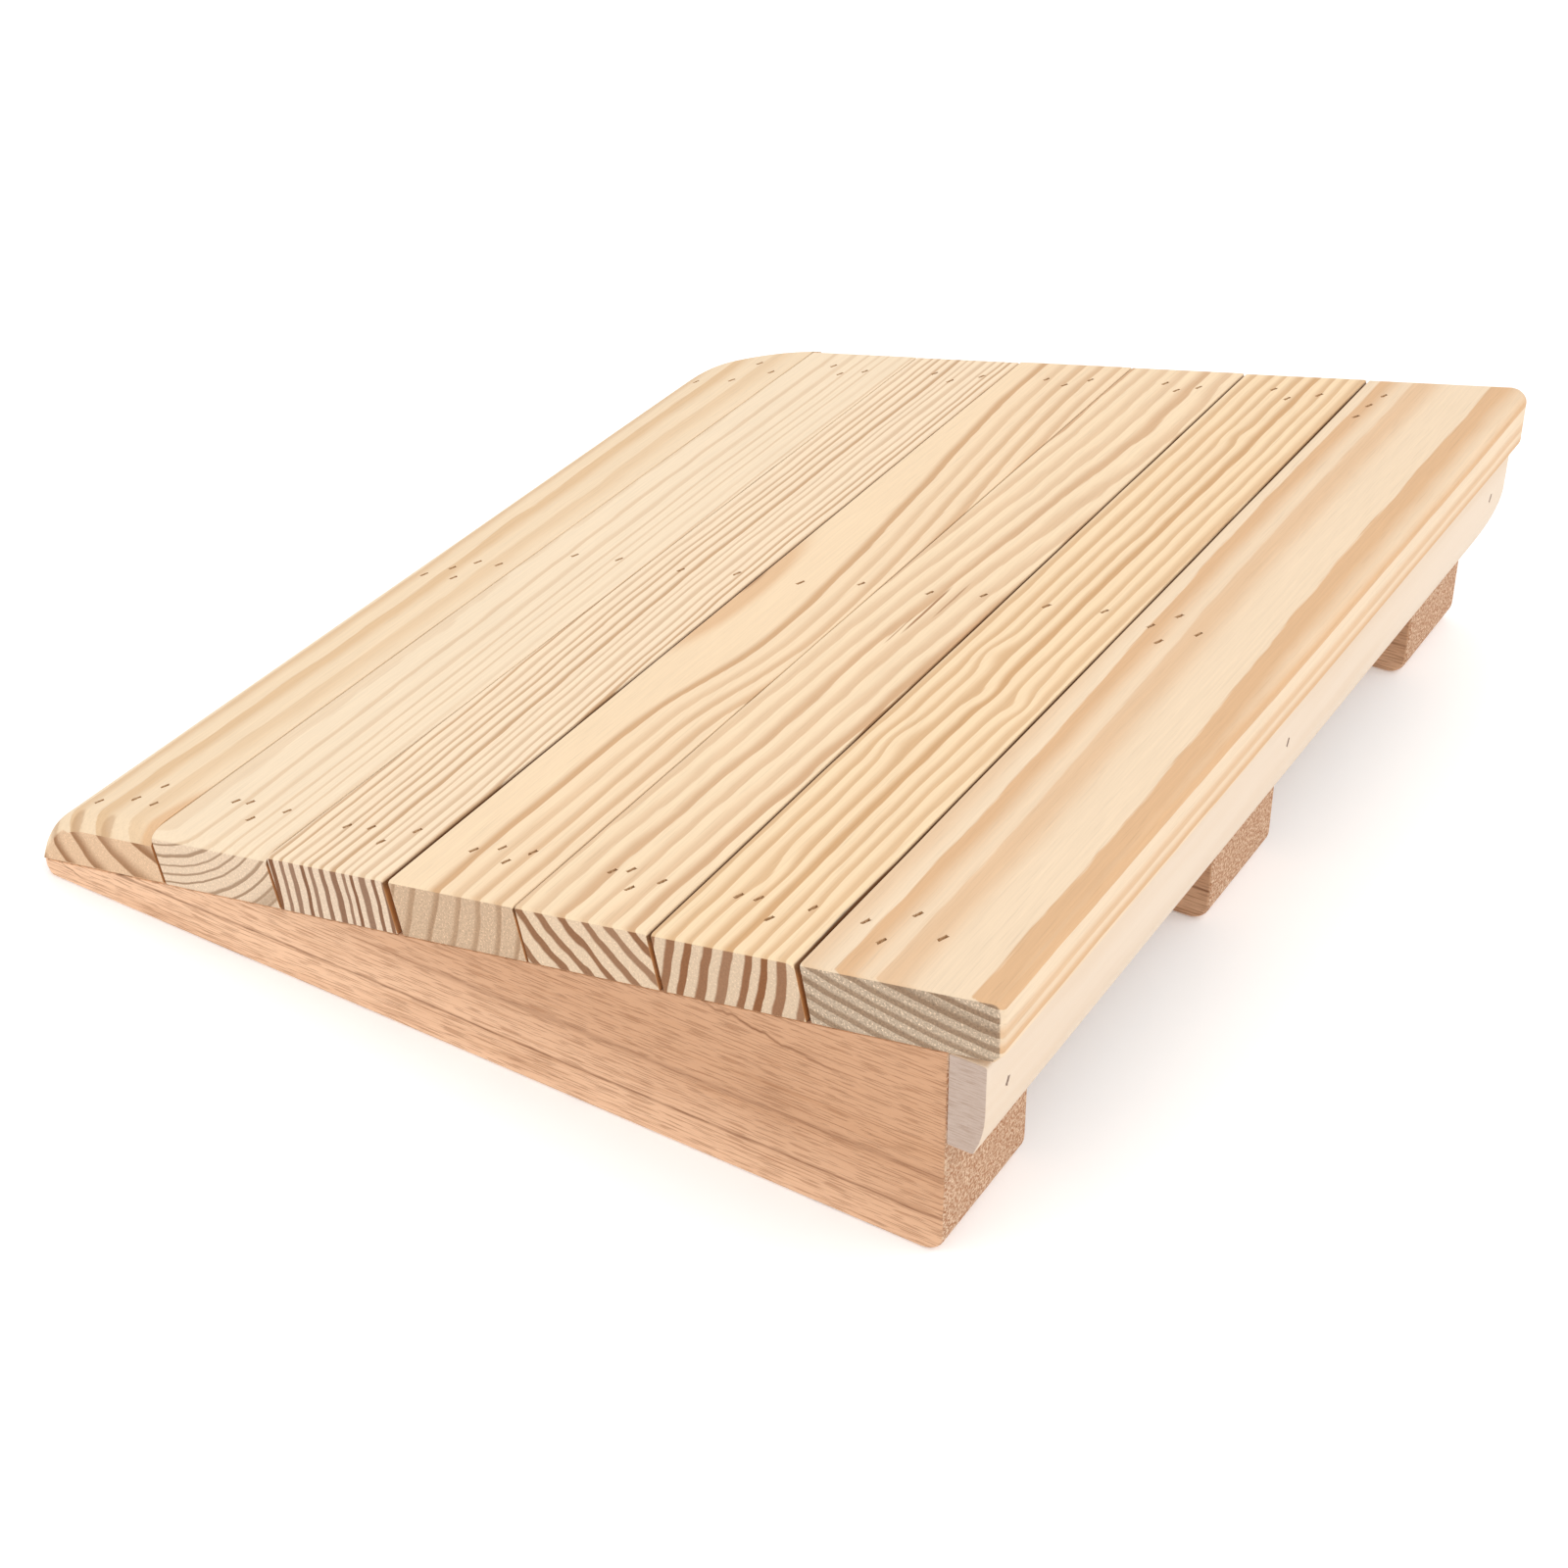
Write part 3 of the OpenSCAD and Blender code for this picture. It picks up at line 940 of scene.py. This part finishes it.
def rail_material():
    g = Graph("rail_pine")
    x, y, z = g.place()
    wander = g.noise(x / 90, y / 15, z / 20)
    fibre = g.noise(x / 30, y * 2, z * 2, detail=3.0, rough=0.65)
    broad = g.noise(x / 120, y / 6, z / 9 + wander)
    face = g.mix(g.ramp(broad, -0.2, 0.3), back_lit(253, 233, 211), back_lit(248, 224, 198))
    face = g.shade(face, 1.0 + fibre * 0.05)
    saw = g.noise(x * 2, y * 1.2, z * 3, detail=3.0, rough=0.7)
    lines = g.noise(x, y / 6, z * 2.2 + wander, detail=2.0)
    dot = g.hill(y, z, (157.5, 32.0), (0.7, 0.6))
    end = g.mix(g.ramp(lines, -0.1, 0.25), end_lit(201, 180, 166), end_lit(182, 158, 142))
    end = g.mix(dot, g.shade(end, 1.0 + saw * 0.2), srgb(90, 60, 44))  # one small dark spot
    across_x = g.ramp(g.facing()[0], 0.35, 0.75)
    height = fibre * 0.06 + across_x * saw * 0.2
    return g.finish(g.mix(across_x, face, end), 0.58 + across_x * 0.2, height, 0.7)


# ------------------------------------------------------------------ hardwood and steel


def hardwood_material():
    """Reddish-tan hardwood with fine open pores along Y and a dark mineral streak near the floor."""
    g = Graph("rib_hardwood")
    x, y, z = g.place()
    wander = g.noise(x / 40, y / 130, z / 30)
    level = z + wander * 3
    bands = g.noise(x / 12, y / 150, level / 6, detail=3.0, rough=0.6)
    broad = g.noise(x / 30, y / 60, z / 14 + 3.0)
    pore = g.ramp(g.noise(x * 2, y / 11, z * 2.2, detail=1.0), 0.04, 0.14)
    long_pore = g.ramp(g.noise(x * 2, y / 45, z * 1.5 + 9.0, detail=1.5), 0.05, 0.17)
    streak = g.bell(level + g.noise(x, y / 14, 0.0) * 0.8, 12.6, 0.5) * (0.75 + g.noise(x, y / 9, 0.0))
    upper = g.bell(level, 27.5, 1.2) * g.ramp(y, -60, 0) * 0.35
    crack = g.bell(z + (y - 95) * 0.16 + g.noise(x, y / 7, 2.0) * 5, 55.0, 0.55) * g.bell(y, 100, 26)
    crack = crack + g.bell(z + (y + 160) * 0.35 + g.noise(x, y / 3, 5.0) * 2, 5.5, 0.35) * g.bell(y, -161, 5)
    knot = g.hill(y, z, (106, 30), (9, 11)) * 0.16
    # Painted light: the rib sides are painted lighter towards the floor, to make up for the shade the floor
    # casts on their low part, and darker higher up.
    side = g.mix(g.ramp(z + y / 9, -2, 45), end_lit(246, 203, 168), end_lit(213, 166, 131))
    side = g.mix(g.ramp(bands + broad * 0.6, 0.0, 0.35) * 0.5, side, end_lit(202, 152, 115))
    side = g.mix(pore * 0.45, side, end_lit(160, 110, 77))
    side = g.mix(long_pore * 0.38, side, end_lit(174, 124, 90))
    dark = g.math("MAXIMUM", g.math("MAXIMUM", streak * 0.8, crack * 0.7), g.math("MAXIMUM", upper, knot))
    side = g.mix(g.math("MULTIPLY", dark, 1.0, clamp=True), side, end_lit(132, 86, 58))
    grains = g.noise(x * 1.1, y * 1.5, z * 1.1, detail=3.0, rough=0.75)
    end = g.mix(g.ramp(grains, -0.12, 0.16), back_lit(190, 134, 98), back_lit(255, 222, 190))
    across_y = g.ramp(g.facing()[1], 0.4, 0.8)
    height = pore * -0.15 + across_y * grains * 0.4 + bands * 0.05
    return g.finish(g.mix(across_y, side, end), 0.6 + across_y * 0.2, height, 0.8)


def steel_material():
    g = Graph("brad_steel")
    x, y, z = g.place()
    stain = g.noise(x * 1.2, y * 1.2, z * 1.2, detail=3.0)
    colour = g.mix(g.ramp(stain, -0.12, 0.12), srgb(54, 37, 26), srgb(104, 72, 48))
    g.shader.inputs["Metallic"].default_value = 0.4
    return g.finish(colour, 0.5 + stain * 0.3, stain * 0.05, 0.5)


# ------------------------------------------------------------------ putting it together


def place_piece(piece, material, node):
    piece.data.materials.clear()
    piece.data.materials.append(material)
    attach(piece, "root")
    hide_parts(node)


def build_board_set():
    for number in range(1, len(BOARDS) + 1):
        board = BOARD_KINDS.get(number, Board)(number)
        place_piece(board.build(), pine_material(number), board.node)


def build_ribs_and_rail():
    hardwood = hardwood_material()
    for node in RIBS:
        place_piece(make_rib(node), hardwood, node)
    place_piece(make_rail(), rail_material(), "back_rail")


def build_brads():
    steel = steel_material()
    for node in BRAD_SETS:
        place_piece(make_brads(node), steel, node)


# ------------------------------------------------------------------ camera, floor and light

VIEW_AZIMUTH, VIEW_ELEVATION, VIEW_ROLL = 122.65, 35.0, -1.0  # degrees
VIEW_DISTANCE = 0.885  # from the middle of the model, along the view
VIEW_OFFSET = (-0.01114, -0.05503)  # the camera's shift to its right and up
LENS = 60.407


def make_camera():
    """A camera that looks from the high right corner. Azimuth 0 looks along +Y."""
    azimuth, elevation, roll = (math.radians(a) for a in (VIEW_AZIMUTH, VIEW_ELEVATION, VIEW_ROLL))
    back = Vector((math.sin(azimuth) * math.cos(elevation), -math.cos(azimuth) * math.cos(elevation),
                   math.sin(elevation)))
    right = Vector((0, 0, 1)).cross(back).normalized()
    turn = Matrix.Rotation(roll, 3, back)
    right, up = turn @ right, turn @ back.cross(right)
    data = bpy.data.cameras.new("camera")
    data.lens, data.sensor_width = LENS, 36
    data.clip_start, data.clip_end = 0.01, 50
    camera = bpy.data.objects.new("camera", data)
    bpy.context.scene.collection.objects.link(camera)
    middle = (cad_box[0] + cad_box[1]) / 2
    place = middle + back * VIEW_DISTANCE + right * VIEW_OFFSET[0] + up * VIEW_OFFSET[1]
    camera.matrix_world = Matrix.Translation(place) @ Matrix((right, up, back)).transposed().to_4x4()
    bpy.context.scene.camera = camera


def make_floor():
    """A wide pale floor, a hair under the ribs."""
    size, low = 12.0, -0.1 * MM
    corners = [(-size, -size, low), (size, -size, low), (size, size, low), (-size, size, low)]
    floor = mesh_object("floor", corners, [(0, 1, 2, 3)])
    paper = Graph("pale_floor")
    paper.shader.inputs["Base Color"].default_value = (0.9, 0.9, 0.9, 1)
    paper.shader.inputs["Emission Color"].default_value = (1, 1, 1, 1)
    paper.shader.inputs["Emission Strength"].default_value = 0.16
    paper.shader.inputs["Roughness"].default_value = 0.9
    floor.data.materials.append(paper.material)


def area_light(name, place, target, size, watts):
    data = bpy.data.lights.new(name, "AREA")
    data.shape, data.size, data.energy = "DISK", size, watts
    light = bpy.data.objects.new(name, data)
    light.location = place
    light.rotation_euler = (Vector(target) - Vector(place)).to_track_quat("-Z", "Y").to_euler()
    bpy.context.scene.collection.objects.link(light)


def make_light():
    world = bpy.data.worlds.new("studio")
    world.use_nodes = True
    world.node_tree.nodes["Background"].inputs["Color"].default_value = (1, 1, 1, 1)
    world.node_tree.nodes["Background"].inputs["Strength"].default_value = 1.0
    bpy.context.scene.world = world
    area_light("key", (-0.35, 2.7, 3.6), (0, 0, 0), 2.4, 48)
    area_light("fill", (1.8, -0.8, 1.2), (0, 0, 0), 1.6, 6)
    bpy.context.scene.view_settings.view_transform = "Standard"


make_camera()
make_floor()
make_light()
build_board_set()
build_ribs_and_rail()
build_brads()
